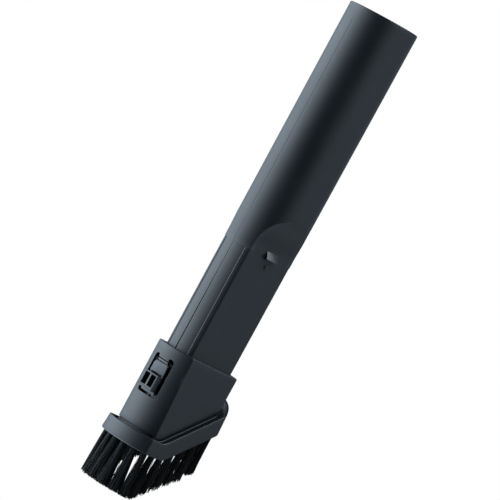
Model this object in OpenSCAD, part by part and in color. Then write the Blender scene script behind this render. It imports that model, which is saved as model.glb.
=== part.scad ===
// Two-in-one crevice nozzle for a vacuum cleaner: a round hose socket runs into a flat-sided
// crevice nozzle, and a dusting brush slides along it and locks with a hinged thumb latch.
// Millimetres. Z runs along the tool, +Z up through the socket mouth at the origin.
// The thumb latch is on the narrow side that faces -X; the flat sides face -Y and +Y.

/* [Socket tube] */
// Outer diameter at the socket mouth
socket_d = 39.1; // [37.5:0.1:40]
// Outer diameter at the lower end of the tube
tube_end_d = 38.1; // [37.4:0.1:38.4]
// Length of the round tube
tube_len = 136.8; // [130:0.5:150]
// Diameter of the hose socket
bore_d = 35; // [34:0.1:35.6]
// Depth of the hose socket
bore_depth = 32; // [20:1:40]

/* [Crevice nozzle] */
// Distance between the two flat sides
flat_gap = 21.8; // [20:0.2:23]
// Diameter over the rounded narrow sides at the lower end
nozzle_end_d = 37.5; // [36.8:0.1:37.6]
// Depth of the recess along each narrow side
side_recess = 0.45; // [0.2:0.05:0.6]
// Wall thickness of the nozzle
wall = 1.8; // [1.4:0.1:2]
// Radius of the scoop that leads from the round tube to each flat side
scoop_r = 27; // [24:1:32]
// Height of the stop wedge on each flat side
wedge_rise = 2.5; // [1.5:0.1:3]

/* [Brush head] */
// Diameter of the sleeve at its rim
sleeve_d = 45.3; // [44.6:0.1:46]
// Diameter of the sleeve at its lower edge
sleeve_end_d = 44.8; // [44.4:0.1:45.6]
// Height of the sleeve's rim below the socket mouth
rim_drop = 199.7; // [190:0.1:205]
// Height of the sleeve's level lower edge below the socket mouth
edge_drop = 244.7; // [240:0.1:250]
// Distance between the sleeve's flat sides at its rim
sleeve_gap = 29.3; // [28:0.1:30]
// Distance between the sleeve's flat sides at its lower edge
sleeve_end_gap = 32; // [31:0.1:33]
// Diameter of the bristle flange
flange_d = 54.2; // [52.6:0.1:55]
// Distance between the flat sides of the bristle flange
flange_gap = 38.4; // [37:0.1:40]
// Thickness of the bristle flange
flange_t = 8.4; // [8:0.1:10]
// Slant of the mouth in degrees
slant = 42.3; // [38:0.1:44]

/* [Bristles] */
// Diameter of one tuft
tuft_d = 3.2; // [2.4:0.1:3.3]
// Spacing of the tufts along a flat side
tuft_pitch = 5.7; // [5:0.1:6]
// Height of the level bristle tips below the socket mouth
tip_drop = 278.7; // [272:0.1:282]

/* [Latch] */
// Width of the latch window
window_w = 15.3; // [14:0.1:16]
// Width of the button
button_w = 10.8; // [10:0.1:12]
// How far the thumb grip stands above the button pad
grip_rise = 2.8; // [1.4:0.1:3]
// Diameter of the hinge pin
pin_d = 1.2; // [1:0.05:1.3]

/* [Hidden] */
$fn = 96;
far = 120;                            // reach of a cutting shape past the part
flat_y = flat_gap / 2;
spigot_r = 17.15;                     // nozzle spigot, pressed in the tube
spigot_top = -108;
scoop_z = -133.5;                     // where the scoop meets the flat side
nozzle_r = tube_end_d / 2;
recess_y = 8.3;                       // half width of the recess on a narrow side
wedge_w = 8.6;
wedge_len = 4.4;
pip_z = -141.7;                       // click pip below the wedge
pip_rise = 0.7;
pip_r = 2;
pip_w = 1.6;
slope = tan(slant);
bend_x = -11.4;                       // where the sleeve's lower edge turns up
neck_len = 3.5;                       // sleeve neck sunk in the flange
neck_r = 21.4;
neck_y = 14.7;
flange_gap_t = 1;                     // open joint between sleeve and flange
rim_shift = 0.5;                      // the flange turns up this much further along X at its upper face
flange_shift = 1.2;                   // and this much at its lower face
plinth_r = 22.2;                      // wall round the neck seat, which rises into a low plinth
plinth_y = 16.3;
plinth_shift = -0.4;
rim_w = 1.2;                          // flange rim outside the channel
channel_t = 2.8;
tip_inset = 1.3;                      // nozzle tip above the flange's lower face
slide_gap = 0.4;                      // clearance round the nozzle
collar_t = 2.2;
hollow_r = 20.5;                      // hollow inside the sleeve
hollow_y = 13.1;
window_top = -205.8;
window_low = -227.7;
window_r = 2;
tongue_low = -207.4;                  // sleeve tongue between the window's ears
tongue_w = 7.6;
pin_x = -20;
pin_z = -208.5;
pin_half = 8.5;
barrel_r = 1.15;
rib_half = 0.5;                       // half height of the barrel's finger rib
slot_h = 0.6;                         // slots above and below the rib
slot_x = -19.9;                       // bottom of those slots
slot_half = 3.2;
web_x = -19.3;                        // back of the web from the barrel to the plate
pin_play = 0.05;
button_x = -21.9;                     // outer face of the button pad
pad_t = 1.4;
pad_top = -209.6;
pad_shoulder = -211.2;
pad_low = -215.4;
pad_top_w = 8.8;
plate_x = -21.5;                      // plate behind the pad and grip
plate_t = 1;
plate_top = -209.7;
plate_low = -226.3;
slit_half = 4.4;                      // half width of the slit between pad and grip
rib_x = -19.1;                        // back of the two stiffening ribs behind the plate
rib_top = -213;
rib_low = -218.5;
grip_top = -216.3;
grip_low = -225;
pocket_top = -217;                    // two pockets in the grip
pocket_low = -223.4;
pocket_w = 3.8;
pocket_rib = 1.2;
pocket_deep = 3.4;
arm_x = -20.3;                        // latch arm and its tooth
arm_w = 6;
arm_t = 1;
arm_top = -202.3;
tooth_x = -18.6;
tooth_h = 2.2;
wire_d = 0.36;                        // spring
coil_r = 0.96;
coil_len = 2.4;
coil_y = 4.2;
tuft_deep = 4;                        // depth of a tuft hole
anchor_t = 1.4;
row_y = 16.9;                         // tuft row along a flat side
row_r = 23.2;                         // tuft row round a narrow side
row_a = 16;                           // degrees between its tufts
row_turn = 4;                         // and the turn of the whole row
corner_x = 17.6;
corner_y = 16.2;
row_x = -12.6;                        // first tuft of a flat side
staple_w = 2.4;
staple_t = 0.4;
tip_bend_x = -14;
tip_slope = 0.77;

// Every tuft: name, X, Y
TUFTS = concat(
  [for (i = [0:3]) let (a = row_a * (i - 1.5) + row_turn)
    [str("tuft_nose_", i + 1), -row_r * cos(a), -row_r * sin(a)]],
  [for (i = [0:3]) let (a = row_a * (i - 1.5) + row_turn)
    [str("tuft_heel_", i + 1), row_r * cos(a), row_r * sin(a)]],
  [for (i = [0:3]) let (x = [-1, -1, 1, 1][i], y = [-1, 1, -1, 1][i])
    [str("tuft_corner_", i + 1), corner_x * x, corner_y * y]],
  [for (i = [0:4]) [str("tuft_front_", i + 1), row_x + i * tuft_pitch, -row_y]],
  [for (i = [0:4]) [str("tuft_back_", i + 1), row_x + i * tuft_pitch, row_y]]
);

// Height of the bent mouth line at x, t below the sleeve's lower edge and shifted along X
function mouth_z(x, t, shift = 0) =
  -edge_drop - t + slope * max(0, x - bend_x - shift - t * tan(slant / 2));
flange_low = flange_gap_t + flange_t;
// Height of the flange's lower face at x
function flange_z(x) = mouth_z(x, flange_low, flange_shift);
function tip_z(x) = -tip_drop + tip_slope * max(0, x - tip_bend_x);

// Solid of revolution from r1 at z1 down to r2 at z2
module round_bar(r1, z1, r2, z2) {
  rotate_extrude() polygon([[0, z1], [r1, z1], [r2, z2], [0, z2]]);
}

// Everything between |y| < half
module slab(half, z1, z2) {
  translate([-far / 2, -half, z2]) cube([far, 2 * half, z1 - z2]);
}

// Everything above the mouth line that lies t below the sleeve's lower edge
module above_mouth(t, shift = 0) {
  x_bend = bend_x + shift + t * tan(slant / 2);
  rotate([90, 0, 0]) linear_extrude(far, center = true)
    polygon([[-far, mouth_z(-far, t, shift)], [x_bend, mouth_z(x_bend, t, shift)],
             [far, mouth_z(far, t, shift)], [far, 40], [-far, 40]]);
}

// Space outside the flat sides, with the scoops that lead into them; grown inwards by g
module outside_flats(g) {
  for (s = [-1, 1]) {
    translate([0, s * (flat_y + scoop_r), scoop_z]) rotate([0, 90, 0])
      cylinder(r = scoop_r + g, h = far, center = true);
    translate([-far / 2, s > 0 ? flat_y - g : -flat_y + g - far, -300])
      cube([far, far, 300 + scoop_z]);
  }
}

module socket_tube() {
  color([0.17, 0.19, 0.21]) difference() {
    round_bar(socket_d / 2, 0, tube_end_d / 2, -tube_len);
    translate([0, 0, -bore_depth]) cylinder(d = bore_d, h = bore_depth + 1);
    translate([0, 0, -tube_len - 1]) cylinder(r = spigot_r, h = tube_len);
    outside_flats(0);
  }
}

// Outer shape of the whole nozzle, before its duct and its split into halves
module nozzle_body() {
  difference() {
    union() {
      translate([0, 0, -tube_len]) cylinder(r = spigot_r, h = tube_len + spigot_top);
      round_bar(nozzle_r, -tube_len, nozzle_end_d / 2, -262);
    }
    outside_flats(0);
    difference() {
      slab(recess_y, -tube_len, -300);
      round_bar(nozzle_r - side_recess, -tube_len + 1, nozzle_end_d / 2 - side_recess, -301);
    }
  }
}

module nozzle_duct() {
  difference() {
    union() {
      translate([0, 0, -tube_len - 1]) cylinder(r = spigot_r - wall, h = 40);
      translate([0, 0, -300]) cylinder(r = nozzle_end_d / 2 - wall, h = 300 - tube_len - 1);
    }
    outside_flats(wall);
  }
}

// Stop wedge and click pip on one flat side
module wedge_and_pip() {
  translate([0, -flat_y, 0]) {
    rotate([90, 0, 90]) linear_extrude(wedge_w, center = true)
      polygon([[0.5, scoop_z], [0, scoop_z], [-wedge_rise, scoop_z - wedge_len + 0.6],
               [-wedge_rise, scoop_z - wedge_len], [0.5, scoop_z - wedge_len]]);
    translate([0, pip_r - pip_rise, pip_z]) rotate([0, 90, 0])
      cylinder(r = pip_r, h = pip_w, center = true);
  }
}

// One half of the nozzle; side is -1 for the front, 1 for the back
module nozzle_half(side) {
  color([0.18, 0.20, 0.22]) difference() {
    union() {
      intersection() {
        nozzle_body();
        translate([-far / 2, side > 0 ? 0 : -far, -300]) cube([far, far, 300]);
      }
      mirror([0, side > 0 ? 1 : 0, 0]) wedge_and_pip();
    }
    nozzle_duct();
    // Slanted tip, a little inside the flange's lower face
    difference() {
      translate([-far / 2, -far / 2, -320]) cube([far, far, 120]);
      above_mouth(flange_low - tip_inset, flange_shift);
    }
    // Shallow notch for the latch tooth
    translate([-nozzle_r - 1, -arm_w / 2 - 0.2, arm_top - tooth_h - 0.7])
      cube([2.3, arm_w + 0.4, tooth_h + 1]);
  }
}

// Rounded rectangle across Y and Z, for the window
module window_shape(half, z1, z2, r) {
  translate([0, z2]) union() {
    translate([-half + r, 0]) square([2 * half - 2 * r, z1 - z2]);
    translate([-half, r]) square([2 * half, z1 - z2 - 2 * r]);
    for (y = [-half + r, half - r], z = [r, z1 - z2 - r]) translate([y, z]) circle(r);
  }
}

// Outer shape of the sleeve: a tapered round bar with two leaning flats
module sleeve_shape() {
  top = sleeve_gap / 2;
  low = sleeve_end_gap / 2;
  intersection() {
    translate([0, 0, -edge_drop]) cylinder(d1 = sleeve_end_d, d2 = sleeve_d, h = edge_drop - rim_drop);
    rotate([90, 0, 90]) linear_extrude(far, center = true)
      polygon([[-top, -rim_drop], [top, -rim_drop], [low, -edge_drop], [-low, -edge_drop]]);
    above_mouth(0);
  }
}

module nozzle_passage() {
  intersection() {
    translate([0, 0, -300]) cylinder(r = nozzle_r + slide_gap, h = 110);
    slab(flat_y + slide_gap, -190, -300);
  }
}

module brush_sleeve() {
  color([0.19, 0.21, 0.23]) difference() {
    union() {
      sleeve_shape();
      intersection() {
        translate([0, 0, -290]) cylinder(r = neck_r, h = 60);
        slab(neck_y, -225, -290);
        above_mouth(neck_len);
      }
    }
    nozzle_passage();
    // Hollow below the rim collar
    intersection() {
      translate([0, 0, -300]) cylinder(r = hollow_r, h = 300 - rim_drop - collar_t);
      slab(hollow_y, -rim_drop - collar_t, -300);
    }
    // Relief for the click pips under the collar
    translate([-1.5, -flat_y - pip_rise - 0.6, -205]) cube([3, flat_gap + 2 * pip_rise + 1.2, 10]);
    // Latch window, with a tongue left standing between its ears
    difference() {
      translate([-30, 0, 0]) rotate([90, 0, 90]) linear_extrude(12.5)
        window_shape(window_w / 2, window_top, window_low, window_r);
      translate([-30, -tongue_w / 2, tongue_low]) cube([20, tongue_w, 10]);
    }
    // Relief behind the tongue for the latch arm
    translate([arm_x - 1, -arm_w / 2 - 0.5, tongue_low - 1]) cube([4, arm_w + 1, 6.6]);
    // Holes for the hinge pin
    translate([pin_x, 0, pin_z]) rotate([90, 0, 0]) cylinder(d = pin_d, h = 2 * pin_half, center = true);
  }
}

// Everything below a mouth line and inside the brush head's length
module below_mouth(t, shift) {
  difference() {
    translate([-far / 2, -far / 2, -280]) cube([far, far, 90]);
    above_mouth(t, shift);
  }
}

// Upright bar of radius r with two flats at |y| = half, for cutting and for the flange
module rounded_bar(r, half) {
  intersection() {
    translate([0, 0, -290]) cylinder(r = r, h = 100);
    slab(half, -190, -290);
  }
}

module bristle_flange() {
  color([0.19, 0.21, 0.23]) difference() {
    union() {
      intersection() {
        rounded_bar(flange_d / 2, flange_gap / 2);
        below_mouth(flange_gap_t, rim_shift);
        above_mouth(flange_low, flange_shift);
      }
      // Plinth round the seat for the neck
      intersection() {
        rounded_bar(plinth_r, plinth_y);
        below_mouth(flange_gap_t, plinth_shift);
        above_mouth(flange_gap_t + 1, rim_shift);
      }
    }
    // Channel between the plinth and the rim
    difference() {
      intersection() {
        rounded_bar(flange_d / 2 - rim_w, flange_gap / 2 - rim_w);
        above_mouth(flange_gap_t + channel_t, rim_shift);
      }
      rounded_bar(plinth_r, plinth_y);
    }
    nozzle_passage();
    // Seat for the sleeve's neck
    intersection() {
      rounded_bar(neck_r, neck_y);
      above_mouth(neck_len);
    }
    for (t = TUFTS)
      translate([t[1], t[2], flange_z(t[1]) - 10]) cylinder(d = tuft_d, h = 10 + tuft_deep);
  }
}

// Bundle of bristles, folded over its anchor and parallel to the tool's axis
module tuft(t) {
  top = flange_z(t[1]) + tuft_deep - anchor_t;
  color([0.03, 0.03, 0.035])
    translate([t[1], t[2], tip_z(t[1])]) cylinder(d = tuft_d, h = top - tip_z(t[1]));
}

// One flat wire staple at the bottom of each tuft hole
module tuft_anchors() {
  color([0.75, 0.75, 0.77]) for (t = TUFTS)
    translate([t[1] - staple_w / 2, t[2] - staple_t / 2, flange_z(t[1]) + tuft_deep - anchor_t])
      cube([staple_w, staple_t, anchor_t]);
}

module release_button() {
  half = button_w / 2;
  grip_half = half - 0.2;
  barrel_w = tongue_w;
  grip_x = button_x - grip_rise;
  color([0.20, 0.22, 0.24]) difference() {
    union() {
      // Hinge barrel with its finger rib
      translate([pin_x, 0, pin_z]) rotate([90, 0, 0]) cylinder(r = barrel_r, h = barrel_w, center = true);
      translate([plate_x - 0.3, -barrel_w / 2, pin_z - rib_half]) cube([1.4, barrel_w, 2 * rib_half]);
      // Web from the barrel to the plate
      translate([plate_x + 0.5, -barrel_w / 2, plate_top - 0.9]) cube([web_x - plate_x - 0.5, barrel_w, 2]);
      // Plate, pad and thumb grip
      translate([plate_x, -grip_half, plate_low]) cube([plate_t, 2 * grip_half, plate_top - plate_low]);
      rotate([90, 0, 90]) translate([0, 0, button_x]) linear_extrude(pad_t)
        polygon([[-pad_top_w / 2, pad_top], [pad_top_w / 2, pad_top], [half, pad_shoulder], [half, pad_low],
                 [-half, pad_low], [-half, pad_shoulder]]);
      translate([grip_x, -grip_half, grip_low]) cube([grip_rise + pad_t, 2 * grip_half, grip_top - grip_low]);
      // Stiffening ribs behind the plate, beside the slit between pad and grip
      for (y = [-grip_half, slit_half])
        translate([plate_x, y, rib_low]) cube([rib_x - plate_x, grip_half - slit_half, rib_top - rib_low]);
      // Latch arm and tooth above the hinge
      translate([arm_x, -arm_w / 2, pin_z]) cube([arm_t, arm_w, arm_top - pin_z]);
      translate([arm_x + 0.8, -arm_w / 2, arm_top - tooth_h]) cube([tooth_x - arm_x - 0.8, arm_w, tooth_h]);
    }
    for (s = [-1, 1])
      translate([grip_x - 1, s * (pocket_rib + pocket_w) / 2 - pocket_w / 2, pocket_low])
        cube([1 + pocket_deep, pocket_w, pocket_top - pocket_low]);
    // Slots above and below the rib, and between the pad and the grip
    for (z = [pin_z - rib_half - slot_h, pin_z + rib_half])
      translate([slot_x - 3, -slot_half, z]) cube([3, 2 * slot_half, slot_h]);
    translate([plate_x - 1, -slit_half, grip_top])
      cube([rib_x - plate_x + 2, 2 * slit_half, pad_low - grip_top]);
    translate([pin_x, 0, pin_z]) rotate([90, 0, 0]) cylinder(r = pin_d / 2 + pin_play, h = 20, center = true);
  }
}

module button_pin() {
  color([0.7, 0.7, 0.72]) translate([pin_x, 0, pin_z]) rotate([90, 0, 0])
    cylinder(d = pin_d, h = 2 * pin_half, center = true);
}

// Torsion spring: a close coil on each side of the barrel, with a leg up and a leg down
module button_spring() {
  color([0.7, 0.7, 0.72]) for (side = [-1, 1]) translate([pin_x, side * coil_y, pin_z]) {
    rotate([-90 * side, 0, 0]) difference() {
      cylinder(r = coil_r + wire_d / 2, h = coil_len);
      translate([0, 0, -1]) cylinder(r = coil_r - wire_d / 2, h = coil_len + 2);
    }
    translate([-0.06, side * wire_d / 2, -4.6]) cylinder(d = wire_d, h = 3.7);
    translate([0, side * (coil_len - wire_d / 2), 0.9]) cylinder(d = wire_d, h = 1.5);
  }
}

socket_tube();
nozzle_half(-1);  // nozzle_front_shell
nozzle_half(1);  // nozzle_back_shell
brush_sleeve();
bristle_flange();
release_button();
button_pin();
button_spring();
tuft_anchors();
for (t = TUFTS) tuft(t);
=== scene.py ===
"""Looks for the two-in-one crevice nozzle: smooth shells, latch, spring and bristles over the CAD frame.
Shapes are worked out in millimetres, in the CAD frame, and turned to metres when a mesh is made."""
import random
from math import asin, atan2, cos, hypot, pi, radians, sin, sqrt, tan

import bmesh
import bpy
from mathutils import Matrix, Vector


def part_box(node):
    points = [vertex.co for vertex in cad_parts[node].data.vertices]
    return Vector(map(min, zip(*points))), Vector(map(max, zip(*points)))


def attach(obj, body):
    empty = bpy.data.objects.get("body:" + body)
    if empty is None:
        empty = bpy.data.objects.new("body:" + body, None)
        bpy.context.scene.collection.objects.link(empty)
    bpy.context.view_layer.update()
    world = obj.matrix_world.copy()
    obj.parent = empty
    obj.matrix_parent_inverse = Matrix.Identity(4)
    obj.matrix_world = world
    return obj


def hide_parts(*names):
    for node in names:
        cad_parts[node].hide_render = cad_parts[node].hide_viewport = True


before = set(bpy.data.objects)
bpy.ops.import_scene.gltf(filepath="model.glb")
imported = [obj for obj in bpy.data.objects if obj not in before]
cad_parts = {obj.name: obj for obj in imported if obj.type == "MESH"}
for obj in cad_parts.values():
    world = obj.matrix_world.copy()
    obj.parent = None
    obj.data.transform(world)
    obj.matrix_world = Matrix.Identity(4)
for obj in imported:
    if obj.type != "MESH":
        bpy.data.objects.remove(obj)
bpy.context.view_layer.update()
MM = 0.001


def box_mm(node):
    """A CAD node's box in millimetres."""
    low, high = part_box(node)
    return low / MM, high / MM


# ---------------------------------------------------------------- dimensions, in millimetres
tube_low, tube_high = box_mm("socket_tube")
sleeve_high = box_mm("brush_sleeve")[1]
flange_high = box_mm("bristle_flange")[1]
TUFT_NODES = sorted(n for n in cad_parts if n.startswith("tuft_") and n != "tuft_anchors")
TINY = 1e-6

# Round tube
TUBE_R = tube_high.x                # at the socket mouth
TUBE_END_R = 19.05
TUBE_END_Z = tube_low.z
SOCKET_R = 17.5
SOCKET_DEPTH = 32
SPIGOT_R = 17.15
SPIGOT_TOP_Z = box_mm("nozzle_front_shell")[1].z
SPIGOT_ROW_Z = -112
SPIGOT_LOW_Z = TUBE_END_Z - 0.005   # above this the nozzle is its spigot
MOUTH_ROUND = 0.55
CHAMFER_W, CHAMFER_H = 0.5, 0.8     # inside the socket mouth
SEAM_TURN, SEAM_DIP, SEAM_TOP_Z = 0.008, 0.06, -5   # mould line: half width in radians, depth, upper end

# Crevice nozzle
FLAT_Y = 10.9
SCOOP_R = 27
SCOOP_Z = -133.5
WALL = 1.8
DUCT_CORNER = 0.6
NOZZLE_TIP_R = 18.75                # at NOZZLE_END_Z, a little narrower than the tube
NOZZLE_END_Z = -262
NOZZLE_CORNER = 2.2
SIDE_RECESS = 0.4                   # the middle of each narrow side lies this much lower
RECESS_Y, RECESS_RAMP = 8.0, 0.45
NARROW_SIDE_X = 8
JOINT_TOP, JOINT_GROWTH, JOINT_RUN = 0.12, 0.30, 62     # the chamfer where the halves meet grows downwards
GROOVE_LEFT_X, GROOVE_RIGHT_X, GROOVE_HALF = 9.05, 6.7, 0.35    # two fine lines down each flat side
GROOVE_DEPTH, GROOVE_TOP_Z, GROOVE_RUN = 0.12, -172, 20
LEAN_Z = -140.0                     # below this the rows lean more and more towards the slanted mouth
MOUTH_RISE = 1.3                    # the nozzle's mouth lies this far above the flange's lower face
STOP_X, STOP_H = 4.3, 2.5           # the wedge's half width and its height over the flat
STOP_CREST_Z, STOP_LOW_Z = -137.3, -137.9
STOP_ROOT = 0.8                     # how deep it is sunk into the flat
PIP_Z, PIP_R, PIP_TALL = -141.7, 0.9, 1.5   # the click pip's place, and half its width and height

# Brush sleeve
SLANT = radians(42.3)
BEND_X = -11.4
BEND_SOFT = 1.2
RIM_Z = sleeve_high.z
EDGE_Z = -244.7
SLEEVE_R = 22.65                    # at the rim
SLEEVE_LOW_R = 22.4                 # at the level lower edge
SLEEVE_Y = 14.65                    # half the distance between its flats at the rim
SLEEVE_LOW_Y = 16.0                 # and at its lower edge
SLEEVE_CORNER = 0.7
NECK_R, NECK_Y, NECK_LEN = 21.4, 14.7, 3.5
NECK_GROOVE = 0.6
HOLLOW_R, HOLLOW_Y = 20.5, 13.1
PASSAGE_R, PASSAGE_Y = 19.45, 11.3
INNER_CORNER = 0.8
COLLAR = 2.2

# Bristle flange
FLANGE_R = flange_high.x - 0.2
FLANGE_Y = flange_high.y
FLANGE_CORNER, RIM_CORNER = 0.9, 0.6
FLANGE_GAP = 1.0
FLANGE_T = 8.4
FLARE = 0.5                         # how much wider it is at its lower edge
RIM_SHIFT, FLANGE_SHIFT = 0.5, 1.2  # how much further along X it turns up, at its upper and lower faces
PLINTH_R, PLINTH_Y, PLINTH_SHIFT = 22.2, 16.3, -0.4
RIM_W, CHANNEL_T = 1.2, 2.8         # the channel between the plinth and the rim
HOLE_DEPTH, HOLE_PLAY = 18, 0.1     # the cutter's length and how much wider than a tuft's root it is

# Bristles
TUFT_R = 1.6
TIP_Z = -278.7
TIP_BEND_X = -14
TIP_SLOPE = 0.77
BRISTLES = 130                      # in each tuft
TURN_EACH = 2.39996                 # the golden angle, which spreads them evenly over the hole
REACH_X, REACH_R = 25.0, 25.3       # no tip leans out further than this
TIP_STEPS = (0.0, 0.1, 0.25, 0.4, 0.7, 1.1)     # unevenness of the cut

# Thumb latch
PIN_X, PIN_Z = -20.0, -208.5
WINDOW_HALF, WINDOW_LOW_Z, WINDOW_TOP_Z, WINDOW_CORNER = 7.65, -227.7, -205.8, 1.9
TONGUE_HALF, TONGUE_TOP_HALF, TONGUE_LOW_Z, TONGUE_TOP_Z = 3.8, 4.6, -207.4, -204.6
RELIEF = ((-21.3, -3.5, -208.4), (-17.3, 3.5, -201.8))  # behind the tongue, where the latch's arm swings
NOTCH = ((-19.6, -3.2, -205.2), (-17.6, 3.2, -202.0))   # in the nozzle, for the latch's tooth
COIL_R, COIL_TURNS, COIL_PITCH, COIL_Y, WIRE_R = 0.96, 6, 0.375, 4.35, 0.17


# ---------------------------------------------------------------- mesh helpers
def sheet(bm, rows):
    """Adds an open grid of faces through rows of points in millimetres."""
    grid = [[bm.verts.new(Vector(p) * MM) for p in row] for row in rows]
    for upper, lower in zip(grid, grid[1:]):
        for i in range(len(upper) - 1):
            bm.faces.new((upper[i], upper[i + 1], lower[i + 1], lower[i]))


def finish_object(bm, name, sharp=32, weld=0.002):
    """Welds a bmesh into one clean closed surface, smooth but for edges sharper than the given angle."""
    bmesh.ops.remove_doubles(bm, verts=bm.verts, dist=weld * MM)
    bmesh.ops.dissolve_degenerate(bm, edges=bm.edges, dist=0.0005 * MM)
    bmesh.ops.recalc_face_normals(bm, faces=bm.faces)
    mesh = bpy.data.meshes.new(name)
    bm.to_mesh(mesh)
    bm.free()
    obj = bpy.data.objects.new(name, mesh)
    bpy.context.scene.collection.objects.link(obj)
    set_sharp(obj, sharp)
    return obj


def set_sharp(obj, angle):
    """Smooth shading with hard edges where faces meet at more than the angle in degrees."""
    bm = bmesh.new()
    bm.from_mesh(obj.data)
    for face in bm.faces:
        face.smooth = True
    for edge in bm.edges:
        edge.smooth = len(edge.link_faces) == 2 and edge.calc_face_angle(0) < radians(angle)
    bm.to_mesh(obj.data)
    bm.free()


def apply_modifiers(obj):
    """Replaces an object's mesh by the result of its modifiers."""
    graph = bpy.context.evaluated_depsgraph_get()
    mesh = bpy.data.meshes.new_from_object(obj.evaluated_get(graph))
    obj.modifiers.clear()
    obj.data = mesh


def boolean(obj, cutter, operation="DIFFERENCE"):
    """Cuts a tool object out of obj, or joins it to it, and deletes the tool."""
    mod = obj.modifiers.new("cut", "BOOLEAN")
    mod.operation = operation
    mod.solver = "EXACT"
    mod.object = cutter
    apply_modifiers(obj)
    bpy.data.objects.remove(cutter)


def bevel(obj, width, angle=30, segments=3):
    """Rounds every edge sharper than the angle."""
    mod = obj.modifiers.new("bevel", "BEVEL")
    mod.width = width * MM
    mod.segments = segments
    mod.limit_method = "ANGLE"
    mod.angle_limit = radians(angle)
    mod.use_clamp_overlap = True
    apply_modifiers(obj)


def prism(bm, outline, axis, low, high):
    """A closed prism: an outline of (a, b) points carried along X or Z between two places."""
    place = {"X": lambda a, b, h: (h, a, b), "Z": lambda a, b, h: (a, b, h)}[axis]
    ends = [[bm.verts.new(Vector(place(a, b, h)) * MM) for a, b in outline] for h in (low, high)]
    bm.faces.new(ends[0])
    bm.faces.new(ends[1][::-1])
    for i in range(len(outline)):
        j = (i + 1) % len(outline)
        bm.faces.new((ends[0][j], ends[0][i], ends[1][i], ends[1][j]))


def block(bm, low, high):
    """A closed box between two corners in millimetres."""
    corners = [(low[0], low[1]), (high[0], low[1]), (high[0], high[1]), (low[0], high[1])]
    prism(bm, corners, "Z", low[2], high[2])


def rounded_outline(half_a, low_b, high_b, radius, steps=6):
    """A rectangle with round corners, as (a, b) points."""
    points = []
    side, low, high = half_a - radius, low_b + radius, high_b - radius
    for a, b, start in ((side, high, 0), (-side, high, 90), (-side, low, 180), (side, low, 270)):
        for k in range(steps + 1):
            angle = radians(start + 90 * k / steps)
            points.append((a + radius * cos(angle), b + radius * sin(angle)))
    return points


def wire(bm, path, radius, sides=10):
    """A round wire along a list of points in millimetres, closed at both ends."""
    circle = [Vector((radius * cos(2 * pi * k / sides), radius * sin(2 * pi * k / sides), 0))
              for k in range(sides)]
    rings = []
    for i, point in enumerate(path):
        ahead = Vector(path[min(i + 1, len(path) - 1)]) - Vector(path[max(i - 1, 0)])
        turn = ahead.to_track_quat("Z", "Y").to_matrix()
        rings.append([bm.verts.new((Vector(point) + turn @ spot) * MM) for spot in circle])
    bm.faces.new(rings[0][::-1])
    bm.faces.new(rings[-1])
    for first, second in zip(rings, rings[1:]):
        for k in range(sides):
            j = (k + 1) % sides
            bm.faces.new((first[k], first[j], second[j], second[k]))


# ---------------------------------------------------------------- cross-sections
ARC_STEPS, CORNER_STEPS, FLAT_STEPS = 26, 6, 14


def spread(low, high, steps):
    """Even steps from low to high, both ends with them."""
    return [low + (high - low) * k / steps for k in range(steps + 1)]


def quadrant(r, d, corner=0.0):
    """A quarter circle of radius r cut by a flat at y = d, from (r, 0) to (0, d), with its corner rounded."""
    d = min(d, r)
    corner = min(corner, 0.95 * (r - d) + 1e-9)     # no larger than the flat leaves room for
    yc = d - corner
    xc = sqrt(max(0.0, (r - corner) ** 2 - yc ** 2))
    start = atan2(yc, xc)
    points = [(r * cos(a), r * sin(a)) for a in spread(0, start, ARC_STEPS)]
    points += [(xc + corner * cos(a), yc + corner * sin(a)) for a in spread(start, pi / 2, CORNER_STEPS)]
    points += [(x, d) for x in spread(xc, 0, FLAT_STEPS)]
    return points


def half_loop(r, d, corner=0.0):
    """The front half of the section, from the narrow side at -X round the flat at -Y to +X."""
    quarter = quadrant(r, d, corner)
    return [(-x, -y) for x, y in quarter] + [(x, -y) for x, y in quarter[::-1]]


def scoop_depth(z, inward=0.0):
    """Distance of the scooped or flat side from the axis at height z."""
    if z <= SCOOP_Z:
        return FLAT_Y - inward
    reach = SCOOP_R + inward
    rise = min(z - SCOOP_Z, reach)
    return FLAT_Y + SCOOP_R - sqrt(reach ** 2 - rise ** 2)


def scoop_rows(radius_at, steps=26):
    """Heights from where the scoop leaves the round surface down to the flat, evenly along the scoop."""
    low, high = 0.0, radians(60)
    for _ in range(40):
        middle = (low + high) / 2
        z = SCOOP_Z + SCOOP_R * sin(middle)
        low, high = (middle, high) if scoop_depth(z) < radius_at(z) else (low, middle)
    return [SCOOP_Z + SCOOP_R * sin(a) for a in spread(low, 0, steps)]


def tube_radius(z):
    """The tube's outside, which narrows a little downwards."""
    return TUBE_R + (TUBE_END_R - TUBE_R) * z / TUBE_END_Z


def nozzle_radius(z):
    """The nozzle's rounded narrow sides, which go on narrowing from the tube's end."""
    return TUBE_END_R + (NOZZLE_TIP_R - TUBE_END_R) * (z - TUBE_END_Z) / (NOZZLE_END_Z - TUBE_END_Z)


def mouth_z(x, below, shift=0.0):
    """Height of the bent mouth line, so far below the sleeve's lower edge, with a slightly soft bend."""
    run = x - BEND_X - shift - below * tan(SLANT / 2)
    soft = 0.5 * (run + sqrt(run * run + BEND_SOFT))
    return EDGE_Z - below + tan(SLANT) * soft


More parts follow.
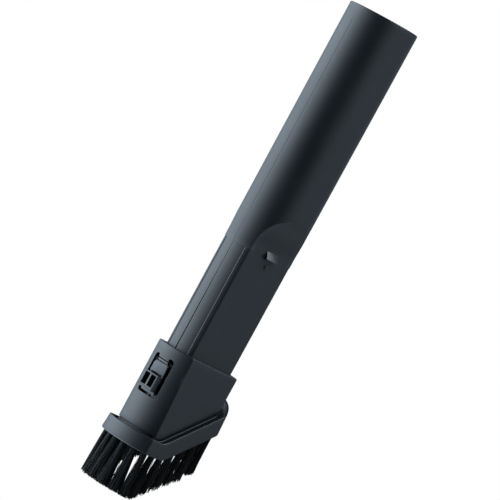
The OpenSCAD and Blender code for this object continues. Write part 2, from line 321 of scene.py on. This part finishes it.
# ---------------------------------------------------------------- shells
def make_tube():
    """The round tube with its socket, shoulder, arched cut-outs, rounded rim and faint mould line."""
    bm = bmesh.new()
    steps = 40
    apex = scoop_rows(tube_radius)[0]
    inner_apex = scoop_rows(lambda z: SPIGOT_R)[0]
    cut = sorted(scoop_rows(tube_radius) + [inner_apex, TUBE_END_Z], reverse=True)

    def cut_angle(radius, z):
        return asin(min(1.0, scoop_depth(z) / radius)) if z < apex + TINY else pi / 2

    for sx, sy in ((-1, -1), (-1, 1), (1, -1), (1, 1)):
        def arc(radius, z, limit=pi / 2, dip=0.0):
            angles = [SEAM_TURN] + spread(0, limit, steps)[1:]
            seam = [(sx * (radius - dip), 0, z)]
            return seam + [(sx * radius * cos(a), sy * radius * sin(a), z) for a in angles]

        def skin_row(z):
            return arc(tube_radius(z), z, cut_angle(tube_radius(z), z), SEAM_DIP if z < SEAM_TOP_Z else 0)

        rounding = [arc(TUBE_R - MOUTH_ROUND * (1 - cos(a)), -MOUTH_ROUND * (1 - sin(a)))
                    for a in (pi / 2, pi / 3, pi / 6, 0)]
        sheet(bm, rounding + [skin_row(z) for z in [-3, -6] + spread(-10, apex + 1, 16) + cut])
        bore = [arc(SOCKET_R + CHAMFER_W, 0), arc(SOCKET_R, -CHAMFER_H)]
        bore += [arc(SOCKET_R, z) for z in spread(-4, -SOCKET_DEPTH, 6)]
        bore += [arc(SPIGOT_R, z) for z in spread(-SOCKET_DEPTH, inner_apex + 1, 10)]
        bore += [arc(SPIGOT_R, z, cut_angle(SPIGOT_R, z)) for z in cut if z <= inner_apex + TINY]
        sheet(bm, bore)
        sheet(bm, [rounding[0], bore[0]])
        sheet(bm, [skin_row(TUBE_END_Z), bore[-1]])
        edge_rows = []
        for z in cut:
            depth = scoop_depth(z)
            outside = sqrt(max(0.0, tube_radius(z) ** 2 - depth ** 2))
            inside = sqrt(max(0.0, SPIGOT_R ** 2 - depth ** 2))
            edge_rows.append([(sx * x, sy * depth, z) for x in spread(outside, inside, 2)])
        sheet(bm, edge_rows)
    return finish_object(bm, "tube_shell", sharp=26)


def recess(x, y, z):
    """The narrow sides are a little lower than the corner bands, with a short ramp between."""
    if z > SPIGOT_LOW_Z:
        return x, y
    share = min(1.0, max(0.0, (RECESS_Y + RECESS_RAMP - abs(y)) / RECESS_RAMP))
    radius = hypot(x, y)
    scale = (radius - SIDE_RECESS * share) / radius if abs(x) > NARROW_SIDE_X else 1.0
    return x * scale, y * scale


def nozzle_section(z):
    """Front half of the nozzle's outline at height z, from seam to seam."""
    if z > SPIGOT_LOW_Z:
        return half_loop(SPIGOT_R, scoop_depth(z))
    radius = nozzle_radius(z)
    quarter = quadrant(radius, FLAT_Y, NOZZLE_CORNER)
    edge = asin(RECESS_Y / radius)
    start = atan2(*reversed(quarter[ARC_STEPS]))
    ramp = asin((RECESS_Y + RECESS_RAMP) / radius)
    chamfer = JOINT_TOP + JOINT_GROWTH * (TUBE_END_Z - z) / JOINT_RUN
    angles = [0, chamfer / radius] + spread(0.03, edge, ARC_STEPS - 6) + [ramp] + spread(ramp, start, 3)[1:]
    side = [(radius * cos(a), radius * sin(a)) for a in angles]
    quarter = [recess(x, y, z) for x, y in side] + quarter[ARC_STEPS + 1:]
    quarter[0] = (quarter[0][0] - chamfer, 0)
    flat_x = [quarter[-1 - FLAT_STEPS][0], 12.4, 11.2, 10.2]
    flat_x += [GROOVE_LEFT_X + GROOVE_HALF, GROOVE_LEFT_X, GROOVE_LEFT_X - GROOVE_HALF, 7.8]
    flat_x += [GROOVE_RIGHT_X + GROOVE_HALF, GROOVE_RIGHT_X, GROOVE_RIGHT_X - GROOVE_HALF, 5, 3.4, 1.7, 0]
    front = quarter[:-1 - FLAT_STEPS]
    depth = GROOVE_DEPTH * min(1.0, max(0.0, (GROOVE_TOP_Z - z) / GROOVE_RUN))
    left = front + [(x, FLAT_Y - depth * (x == GROOVE_LEFT_X)) for x in flat_x]
    right = front + [(x, FLAT_Y - depth * (x == GROOVE_RIGHT_X)) for x in flat_x]
    return [(-x, -y) for x, y in left] + [(x, -y) for x, y in right[::-1]]


def duct_section(z):
    """Front half of the duct inside the nozzle."""
    radius = (SPIGOT_R if z > SPIGOT_LOW_Z else nozzle_radius(z)) - WALL
    return half_loop(radius, min(scoop_depth(z, WALL), radius), DUCT_CORNER if z < SCOOP_Z else 0)


def make_nozzle_half(side, name):
    """One moulded half of the crevice nozzle; side -1 faces -Y."""
    bm = bmesh.new()
    duct_apex = SCOOP_Z + sqrt((SCOOP_R + WALL) ** 2 - (FLAT_Y + SCOOP_R - SPIGOT_R + WALL) ** 2)
    heights = [SPIGOT_TOP_Z, SPIGOT_ROW_Z, duct_apex, TUBE_END_Z, TUBE_END_Z - 0.01]
    heights = sorted(heights + scoop_rows(lambda z: SPIGOT_R), reverse=True)
    outer = [[(x, y, z) for x, y in nozzle_section(z)] for z in heights]
    inner = [[(x, y, z) for x, y in duct_section(z)] for z in heights]
    tip = FLANGE_GAP + FLANGE_T - MOUTH_RISE

    def lower_row(section, share):
        level = LEAN_Z + (EDGE_Z - tip - LEAN_Z) * share
        return [(x, y, LEAN_Z + (mouth_z(x, tip, FLANGE_SHIFT) - LEAN_Z) * share)
                for x, y in section(level)]

    shares = spread(0, 0.94, 22) + [0.975, 0.996]   # down to the mouth, closer together at its blunt edge
    outer += [lower_row(nozzle_section, u) for u in shares]
    inner += [lower_row(duct_section, u) for u in shares]
    blunt_x, blunt_y = 0.985, 0.975
    outer.append([(x * blunt_x, y * blunt_y, z) for x, y, z in lower_row(nozzle_section, 1.0)])
    inner.append(lower_row(duct_section, 1.0))
    sheet(bm, outer)
    sheet(bm, inner)
    sheet(bm, [outer[0], inner[0]])
    sheet(bm, [outer[-1], inner[-1]])
    for end in (0, -1):
        sheet(bm, [[row[end] for row in outer], [row[end] for row in inner]])
    for vert in bm.verts:
        vert.co.y *= -side
    shell = finish_object(bm, name, sharp=26)
    boolean(shell, make_stop(side), "UNION")
    notch = bmesh.new()
    block(notch, *NOTCH)
    boolean(shell, finish_object(notch, "notch"))
    set_sharp(shell, 26)
    return shell


def make_stop(side):
    """The wedge that stops the brush and the click pip below it, on one flat side."""
    bm = bmesh.new()
    foot, crest = FLAT_Y - STOP_ROOT, FLAT_Y + STOP_H
    profile = [(foot, SCOOP_Z + 0.3), (FLAT_Y, SCOOP_Z), (crest, STOP_CREST_Z), (crest, STOP_LOW_Z)]
    profile.append((foot, STOP_LOW_Z))
    prism(bm, [(side * y, z) for y, z in profile], "X", -STOP_X, STOP_X)
    stop = finish_object(bm, "stop")
    bevel(stop, 0.18, segments=2)
    bm = bmesh.new()
    bmesh.ops.create_uvsphere(bm, u_segments=20, v_segments=12, radius=1)
    for vert in bm.verts:
        x, y, z = vert.co
        vert.co = Vector((x * PIP_R, side * FLAT_Y + y * PIP_R, PIP_Z + z * PIP_TALL)) * MM
    boolean(stop, finish_object(bm, "pip"), "UNION")
    return stop


# ---------------------------------------------------------------- brush head
def ring(radius, flat, corner, height):
    """A closed outline whose points lie at height(x); radius and flat may depend on the height."""
    points = []
    for sx, sy, order in ((-1, -1, 1), (1, -1, -1), (1, 1, 1), (-1, 1, -1)):
        quarter = []
        for k in range(ARC_STEPS + CORNER_STEPS + FLAT_STEPS + 3):
            z = height(0)
            for _ in range(3):
                x, y = quadrant(radius(z), flat(z), corner)[k]
                z = height(sx * x)
            quarter.append((sx * x, sy * y, z))
        points += quarter[::order]
    return points + points[:1]


def still(value):
    """A function that always gives the same value, for ring()."""
    return lambda z: value


def at_mouth(below, shift=0.0):
    """The mouth line as a function of x."""
    return lambda x: mouth_z(x, below, shift)


def between(upper, lower, share):
    """A height that is a share of the way from one function of x to another."""
    return lambda x: upper(x) + (lower(x) - upper(x)) * share


def sleeve_flat(z):
    """Half the distance between the sleeve's flats, which lean outwards."""
    return SLEEVE_Y + (SLEEVE_LOW_Y - SLEEVE_Y) * (RIM_Z - z) / (RIM_Z - EDGE_Z)


def sleeve_round(z):
    """Radius of the sleeve's narrow sides."""
    return SLEEVE_R + (SLEEVE_LOW_R - SLEEVE_R) * (RIM_Z - z) / (RIM_Z - EDGE_Z)


def make_sleeve():
    """The sleeve: leaning flats, slanted lower edge, neck, hollow, rim collar and latch window."""
    bm = bmesh.new()
    passage = (still(PASSAGE_R), still(PASSAGE_Y), INNER_CORNER)
    hollow = (still(HOLLOW_R), still(HOLLOW_Y), INNER_CORNER)
    neck = (still(NECK_R), still(NECK_Y), INNER_CORNER)
    groove = (still(NECK_R - NECK_GROOVE), still(NECK_Y - NECK_GROOVE), INNER_CORNER)

    def skin(inset, height):
        return ring(lambda z: sleeve_round(z) - inset, lambda z: sleeve_flat(z) - inset, SLEEVE_CORNER,
                    height)

    rows = [ring(*passage, still(RIM_Z))]
    top, low = 0.5, 0.25            # how much its upper and lower edges are rounded
    for a in spread(pi / 2, 0, 4):
        rows.append(skin(top * (1 - cos(a)), still(RIM_Z - top * (1 - sin(a)))))
    upper, lower = still(RIM_Z - top), lambda x: mouth_z(x, 0) + low
    rows += [skin(0, between(upper, lower, u)) for u in spread(0, 1, 14)[1:]]
    for a in spread(0, pi / 2, 3)[1:]:
        rows.append(skin(low * (1 - cos(a)), lambda x, a=a: mouth_z(x, 0) + low * (1 - sin(a))))
    rows += [ring(*groove, at_mouth(0)), ring(*groove, at_mouth(FLANGE_GAP))]
    rows += [ring(*neck, at_mouth(FLANGE_GAP)), ring(*neck, at_mouth(NECK_LEN))]
    collar_z = still(RIM_Z - COLLAR)
    rows += [ring(*hollow, between(at_mouth(NECK_LEN), collar_z, u)) for u in (0, 0.5, 1)]
    rows += [ring(*passage, collar_z), rows[0]]
    sheet(bm, rows)
    sleeve = finish_object(bm, "sleeve_shell", sharp=28)
    boolean(sleeve, make_window_cutter())
    relief = bmesh.new()
    block(relief, *RELIEF)
    boolean(sleeve, finish_object(relief, "relief"))
    set_sharp(sleeve, 28)
    return sleeve


def make_window_cutter():
    """The latch window's hole, with the sleeve's tongue left standing between its ears."""
    bm = bmesh.new()
    outline = rounded_outline(WINDOW_HALF, WINDOW_LOW_Z, WINDOW_TOP_Z, WINDOW_CORNER)
    prism(bm, outline, "X", -30, -17.5)
    cutter = finish_object(bm, "window")
    tongue = bmesh.new()
    profile = [(-TONGUE_HALF, TONGUE_LOW_Z), (TONGUE_HALF, TONGUE_LOW_Z)]
    profile += [(TONGUE_TOP_HALF, TONGUE_TOP_Z), (-TONGUE_TOP_HALF, TONGUE_TOP_Z)]
    prism(tongue, profile, "X", -31, -17)
    boolean(cutter, finish_object(tongue, "tongue"))
    return cutter


def make_flange():
    """The slanted bristle flange: the plinth round its seat, a channel, a rounded rim and the tuft holes."""
    bm = bmesh.new()
    low_side = FLANGE_GAP + FLANGE_T
    passage = (still(PASSAGE_R), still(PASSAGE_Y), INNER_CORNER)
    seat = (still(NECK_R), still(NECK_Y), INNER_CORNER)

    def plinth(inset, height):
        return ring(still(PLINTH_R - inset), still(PLINTH_Y - inset), SLEEVE_CORNER, height)

    def rim(inset, below):
        height = at_mouth(below, RIM_SHIFT)
        return ring(still(FLANGE_R - RIM_W + inset), still(FLANGE_Y - RIM_W + inset), RIM_CORNER, height)

    def skin(flare, inset, below):
        shift = RIM_SHIFT + (FLANGE_SHIFT - RIM_SHIFT) * (below - FLANGE_GAP) / FLANGE_T
        half_y = FLANGE_Y - 0.1 + flare / 3 - inset
        return ring(still(FLANGE_R + flare - inset), still(half_y), FLANGE_CORNER, at_mouth(below, shift))

    top, low, crest = 0.4, 0.5, 0.3     # how much the outer edges and the crests inside the rim are rounded
    floor = FLANGE_GAP + CHANNEL_T
    rows = [ring(*seat, at_mouth(FLANGE_GAP, PLINTH_SHIFT))]
    for a in spread(pi / 2, 0, 3):
        rows.append(plinth(crest * (1 - cos(a)), at_mouth(FLANGE_GAP + crest * (1 - sin(a)), PLINTH_SHIFT)))
    rows += [plinth(0, at_mouth(floor, RIM_SHIFT)), rim(0, floor)]
    for a in spread(0, pi / 2, 3):
        rows.append(rim(crest * (1 - cos(a)), FLANGE_GAP + crest * (1 - sin(a))))
    for a in spread(pi / 2, 0, 4):
        rows.append(skin(0, top * (1 - cos(a)), FLANGE_GAP + top * (1 - sin(a))))
    rows += [skin(FLARE * u, 0, FLANGE_GAP + top + (FLANGE_T - top - low) * u) for u in spread(0, 1, 4)[1:]]
    for a in spread(0, pi / 2, 4)[1:]:
        rows.append(skin(FLARE, low * (1 - cos(a)), low_side - low * (1 - sin(a))))
    rows += [ring(*passage, at_mouth(low_side, FLANGE_SHIFT)), ring(*passage, at_mouth(NECK_LEN))]
    rows += [ring(*seat, at_mouth(NECK_LEN)), rows[0]]
    sheet(bm, rows)
    flange = finish_object(bm, "flange_shell", sharp=28)
    holes = bmesh.new()
    for tuft in TUFT_NODES:
        low_corner, high_corner = box_mm(tuft)
        x, y, _ = (low_corner + high_corner) / 2
        path = [(x, y, high_corner.z), (x, y, high_corner.z - HOLE_DEPTH)]
        wire(holes, path, TUFT_R + HOLE_PLAY, 20)
    boolean(flange, finish_object(holes, "holes", weld=0.0001))
    set_sharp(flange, 28)
    return flange


# ---------------------------------------------------------------- latch
def make_button():
    """The thumb latch: the CAD shape with every edge rounded."""
    bm = bmesh.new()
    bm.from_mesh(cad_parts["release_button"].data)
    bmesh.ops.remove_doubles(bm, verts=bm.verts, dist=0.001 * MM)
    bmesh.ops.dissolve_limit(bm, angle_limit=radians(2), verts=bm.verts, edges=bm.edges)
    button = finish_object(bm, "button_shell", sharp=30)
    bevel(button, 0.22, angle=40, segments=3)
    set_sharp(button, 45)
    return button


def make_spring():
    """The latch's torsion spring: a coil on each side of the hinge barrel, a leg up and a leg down."""
    bm = bmesh.new()
    each = 16                       # points in a turn
    for side in (-1, 1):
        path = [(PIN_X - COIL_R, side * COIL_Y, z) for z in (PIN_Z - 4.6, PIN_Z - 2.4)]
        for k in range(COIL_TURNS * each + each // 2 + 1):
            a = pi + 2 * pi * k / each
            y = side * (COIL_Y + COIL_PITCH * k / each)
            path.append((PIN_X + COIL_R * cos(a), y, PIN_Z + COIL_R * sin(a)))
        end = side * (COIL_Y + COIL_PITCH * (COIL_TURNS + 0.5))
        path += [(PIN_X + COIL_R, end, PIN_Z + 1.0), (PIN_X + COIL_R, end, PIN_Z + 2.0)]
        wire(bm, path, WIRE_R)
    return finish_object(bm, "spring_wire", sharp=60, weld=0.0001)


# ---------------------------------------------------------------- bristles
def tip_z(x):
    """Height of the trimmed tips: level under the nose, rising towards the heel."""
    return TIP_Z + TIP_SLOPE * max(0.0, x - TIP_BEND_X)


def make_tuft(node, seed):
    """One tuft: a bundle of fine nylon bristles that fans out a little towards ragged tips."""
    rng = random.Random(seed)

    def astray(most):
        return Vector((rng.uniform(-most, most), rng.uniform(-most, most), 0))

    low, high = box_mm(node)
    centre = (low + high) / 2
    lean = astray(0.4)
    bm = bmesh.new()
    loose = 1.1 if "nose" in node else -0.3 if "corner" in node else 0.0
    for k in range(BRISTLES):
        spot = sqrt((k + 0.5) / BRISTLES)
        angle = k * TURN_EACH + seed
        foot = Vector((cos(angle), sin(angle), 0)) * spot
        root = centre + foot * (TUFT_R - 0.1)
        fan = rng.uniform(2.2, 3.2) + loose
        end = centre + foot * fan + lean + astray(0.35)
        too_far = max(abs(end.x) - REACH_X, hypot(end.x, end.y) - REACH_R, 0)
        end -= end.normalized() * too_far
        bottom = tip_z(end.x) + rng.choice(TIP_STEPS) - 0.2
        bow = astray(0.3)
        path = []
        for u in (0, 0.12, 0.35, 0.6, 0.82, 1):
            place = root.lerp(end, u ** 1.3) + bow * sin(pi * u)
            path.append((place.x, place.y, high.z + (bottom - high.z) * u))
        wire(bm, path, rng.uniform(0.11, 0.16), 5)
    return finish_object(bm, node.replace("tuft", "bristles"), sharp=80, weld=0.00001)


# ---------------------------------------------------------------- materials
def make_material(name):
    """A new material with its node tree and its shader."""
    material = bpy.data.materials.new(name)
    material.use_nodes = True
    shader = material.node_tree.nodes["Principled BSDF"]
    return material, material.node_tree, shader


def add_node(tree, kind, inputs=(), **settings):
    """A node with its settings, and its inputs given as values or as other nodes' outputs."""
    node = tree.nodes.new(kind)
    for key, value in settings.items():
        setattr(node, key, value)
    for key, value in dict(inputs).items():
        if isinstance(value, bpy.types.NodeSocket):
            tree.links.new(value, node.inputs[key])
        else:
            node.inputs[key].default_value = value
    return node


def object_noise(tree, scale, detail=3, stretch=(1, 1, 1)):
    """Noise fixed to the object; scale is features per metre, and stretch shortens it along an axis."""
    place = add_node(tree, "ShaderNodeTexCoord")
    squeeze = add_node(tree, "ShaderNodeMapping", {"Vector": place.outputs["Object"], "Scale": stretch})
    settings = {"Vector": squeeze.outputs["Vector"], "Scale": scale, "Detail": detail, "Roughness": 0.55}
    return add_node(tree, "ShaderNodeTexNoise", settings).outputs["Fac"]


def remap(tree, value, low, high, start=0.3, end=0.7):
    """Stretches a value between start and end to the range from low to high, and clamps it."""
    node = add_node(tree, "ShaderNodeMapRange",
                    {"Value": value, "From Min": start, "From Max": end, "To Min": low, "To Max": high})
    return node.outputs["Result"]


def colour_mix(tree, factor, first, second):
    """The output of a mix from the first colour to the second."""
    node = add_node(tree, "ShaderNodeMix", data_type="RGBA")
    sockets = (node.inputs["Factor"], node.inputs[6], node.inputs[7])
    for socket, value in zip(sockets, (factor, first, second)):
        if isinstance(value, bpy.types.NodeSocket):
            tree.links.new(value, socket)
        else:
            socket.default_value = value
    return node.outputs[2]


def multiply(tree, first, second):
    """The product of two values, each a number or a node's output."""
    return add_node(tree, "ShaderNodeMath", {0: first, 1: second}, operation="MULTIPLY").outputs["Value"]


def moulded_plastic(name, colour, edge_wear_and_highlight_colour, roughness, grain=0.25):
    """Moulded plastic with a fine spark-eroded grain, a slight mottle and paler edges: partly rubbed wear,
    partly a painted highlight where rounded edges catch the light.
    """
    material, tree, shader = make_material(name)
    mottle = object_noise(tree, 220, 4)
    darker = tuple(0.86 * c for c in colour[:3]) + (1,)
    base = colour_mix(tree, remap(tree, mottle, 0, 1), darker, colour)
    # Painted highlight and wear: sharp edges, found by pointiness, are made paler in patches, standing in for
    # the light lines that rounded edges catch
    geometry = add_node(tree, "ShaderNodeNewGeometry")
    edge = remap(tree, geometry.outputs["Pointiness"], 0, 1, 0.53, 0.60)
    edge_breakup = object_noise(tree, 500, 3)
    edge_wear_and_highlight = multiply(tree, edge, remap(tree, edge_breakup, 0.25, 1))
    base = colour_mix(tree, edge_wear_and_highlight, base, edge_wear_and_highlight_colour)
    tree.links.new(base, shader.inputs["Base Color"])
    patches = object_noise(tree, 90, 5, (1, 1, 0.35))
    vary = 0.035
    tree.links.new(remap(tree, patches, roughness - vary, roughness + vary), shader.inputs["Roughness"])
    fine = object_noise(tree, 5200, 2)
    bump = add_node(tree, "ShaderNodeBump", {"Strength": grain, "Distance": 0.00004, "Height": fine})
    tree.links.new(bump.outputs["Normal"], shader.inputs["Normal"])
    shader.inputs["Specular IOR Level"].default_value = 0.5
    return material


def bristle_nylon():
    """Black nylon bristles, darker and paler and duller and glossier from strand to strand."""
    material, tree, shader = make_material("bristle_nylon")
    strands = object_noise(tree, 2600, 2, (1, 1, 0.03))
    dark, pale = (0.0004, 0.0005, 0.0004, 1), (0.004, 0.005, 0.004, 1)
    base = colour_mix(tree, remap(tree, strands, 0, 1), dark, pale)
    tree.links.new(base, shader.inputs["Base Color"])
    tree.links.new(remap(tree, strands, 0.30, 0.46), shader.inputs["Roughness"])
    shader.inputs["Specular IOR Level"].default_value = 0.28
    return material


def spring_steel():
    """Blackened steel for the spring, the pin and the staples, with fine drawing lines."""
    material, tree, shader = make_material("spring_steel")
    lines = object_noise(tree, 3000, 2, (1, 0.15, 1))
    dark, pale = (0.010, 0.010, 0.011, 1), (0.028, 0.028, 0.030, 1)
    base = colour_mix(tree, remap(tree, lines, 0, 1), dark, pale)
    tree.links.new(base, shader.inputs["Base Color"])
    tree.links.new(remap(tree, lines, 0.34, 0.48), shader.inputs["Roughness"])
    shader.inputs["Metallic"].default_value = 1
    return material


# ---------------------------------------------------------------- the object
def give(obj, material, body, slot, *nodes):
    """Material, body and the CAD nodes that a piece stands for; the slot argument is not used."""
    obj.data.materials.clear()
    obj.data.materials.append(material)
    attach(obj, body)
    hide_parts(*nodes)


# The second colour is for the paler edges: rubbed wear and painted highlight
charcoal = moulded_plastic("charcoal_plastic", (0.009, 0.011, 0.013, 1), (0.030, 0.035, 0.040, 1), 0.37)
latch_grey = moulded_plastic("latch_plastic", (0.010, 0.012, 0.014, 1), (0.032, 0.038, 0.043, 1), 0.36)
nylon = bristle_nylon()
steel = spring_steel()

give(make_tube(), charcoal, "tube", "charcoal_plastic", "socket_tube")
for y_side, face in ((-1, "front"), (1, "back")):
    moulding = make_nozzle_half(y_side, f"nozzle_{face}_moulding")
    give(moulding, charcoal, "tube", "charcoal_plastic", f"nozzle_{face}_shell")
give(make_sleeve(), charcoal, "brush_head", "charcoal_plastic", "brush_sleeve")
give(make_flange(), charcoal, "brush_head", "charcoal_plastic", "bristle_flange")
give(make_button(), latch_grey, "button", "latch_plastic", "release_button")
give(make_spring(), steel, "button", "spring_steel", "button_spring")
for number, tuft_name in enumerate(TUFT_NODES):
    give(make_tuft(tuft_name, number + 1), nylon, "brush_head", "bristle", tuft_name)
for metal_part in ("button_pin", "tuft_anchors"):
    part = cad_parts[metal_part]
    part.data.materials.clear()
    part.data.materials.append(steel)


# ---------------------------------------------------------------- camera, light and floor
def make_camera():
    """A long lens almost level with the tool, rolled so that the tool leans across the picture."""
    azimuth, elevation, roll = radians(-44.3), radians(1.465), radians(28.6)
    distance, aside, half_length = 2.1, 0.00366, 0.1377
    right = Vector((cos(azimuth), sin(azimuth), 0))
    back = Vector((sin(azimuth) * cos(elevation), -cos(azimuth) * cos(elevation), sin(elevation)))
    up = back.cross(right)
    rolled_right = cos(roll) * right + sin(roll) * up
    rolled_up = cos(roll) * up - sin(roll) * right
    target = Vector((0, 0, -half_length)) - aside * right
    data = bpy.data.cameras.new("camera")
    data.lens = 293.3
    data.clip_end = 50
    camera = bpy.data.objects.new("camera", data)
    bpy.context.scene.collection.objects.link(camera)
    turn = Matrix((rolled_right, rolled_up, back)).transposed().to_4x4()
    camera.matrix_world = Matrix.Translation(target + back * distance) @ turn
    bpy.context.scene.camera = camera


def make_top_light():
    """A soft panel over the tool, which picks out the upper edges."""
    data = bpy.data.lights.new("top_softbox", "AREA")
    data.shape = "RECTANGLE"
    data.size = data.size_y = 1.5
    data.energy = 38                # watts
    data.color = (0.80, 0.93, 1.0)
    light = bpy.data.objects.new("top_softbox", data)
    bpy.context.scene.collection.objects.link(light)
    centre = Vector((0, 0, -0.14))
    light.location = centre + Vector((0.4, -0.8, 1.38))
    light.rotation_mode = "QUATERNION"
    light.rotation_quaternion = (centre - light.location).to_track_quat("-Z", "Y")


# Brightness of the room by bearing, in degrees from -X towards -Y: a wide soft window on one side and a
# dim wall on the other
ROOM = [(-180, 0.2), (-125, 0.35), (-105, 0.85), (-88, 2.1), (-62, 3.9), (-45, 4.2), (-30, 3.1), (-15, 1.7),
        (0, 0.7), (12, 0.22), (25, 0.04), (50, 0.0), (65, 0.14), (80, 0.48), (100, 0.70), (140, 0.51),
        (180, 0.2)]
# And by the sine of the height over the horizon: the window ends well below the ceiling, the floor is pale
HEIGHT = [(-1, 1.5), (-0.7, 1.5), (-0.35, 0.85), (-0.15, 0.7), (0, 1.0), (0.25, 1.25), (0.35, 1.1),
          (0.6, 0.1), (1, 0.1)]


def brightness_ramp(tree, value, stops):
    """Brightness along a list of (value, brightness) stops; the value may be a node's output."""
    low, high = stops[0][0], stops[-1][0]
    full = max(glow for _, glow in stops)
    ramp = add_node(tree, "ShaderNodeValToRGB", {0: remap(tree, value, 0, 1, low, high)})
    elements = ramp.color_ramp.elements
    for place, _ in stops[1:-1]:
        elements.new((place - low) / (high - low))
    for element, (place, glow) in zip(elements, stops):
        element.position = (place - low) / (high - low)
        element.color = (glow / full, glow / full, glow / full, 1)
    return multiply(tree, ramp.outputs["Color"], full)


def make_world():
    """White behind the object, and round it a room that is lit from one side."""
    world = bpy.data.worlds.new("studio")
    world.use_nodes = True
    tree = world.node_tree
    tree.nodes.clear()
    place = add_node(tree, "ShaderNodeTexCoord")
    split = add_node(tree, "ShaderNodeSeparateXYZ", {0: place.outputs["Generated"]})
    minus_x = multiply(tree, split.outputs["X"], -1.0)
    minus_y = multiply(tree, split.outputs["Y"], -1.0)
    bearing = add_node(tree, "ShaderNodeMath", {0: minus_y, 1: minus_x}, operation="ARCTAN2")
    degrees = add_node(tree, "ShaderNodeMath", {0: bearing.outputs[0]}, operation="DEGREES")
    by_bearing = brightness_ramp(tree, degrees.outputs[0], ROOM)
    strength = multiply(tree, by_bearing, brightness_ramp(tree, split.outputs["Z"], HEIGHT))
    path = add_node(tree, "ShaderNodeLightPath")
    cool = (0.78, 0.92, 1.06, 1)
    room = add_node(tree, "ShaderNodeBackground", {"Color": cool, "Strength": strength})
    white = add_node(tree, "ShaderNodeBackground", {"Color": (1, 1, 1, 1), "Strength": 1.0})
    mix = add_node(tree, "ShaderNodeMixShader",
                   {0: path.outputs["Is Camera Ray"], 1: room.outputs[0], 2: white.outputs[0]})
    add_node(tree, "ShaderNodeOutputWorld", {"Surface": mix.outputs[0]})
    bpy.context.scene.world = world


def make_floor():
    """A plain white floor under the bristle tips."""
    bm = bmesh.new()
    half, level = 6000, TIP_Z - 1.2
    sheet(bm, [[(x, y, level) for x in (-half, half)] for y in (-half, half)])
    floor = finish_object(bm, "floor")
    material = bpy.data.materials.new("floor_white")
    material.use_nodes = True
    tree = material.node_tree
    tree.nodes.clear()
    glow = add_node(tree, "ShaderNodeEmission", {"Color": (1, 1, 1, 1), "Strength": 1.0})
    add_node(tree, "ShaderNodeOutputMaterial", {"Surface": glow.outputs[0]})
    floor.data.materials.append(material)
    floor.visible_glossy = floor.visible_diffuse = floor.visible_shadow = False


make_camera()
make_world()
make_floor()
make_top_light()
bpy.context.scene.view_settings.view_transform = "Standard"
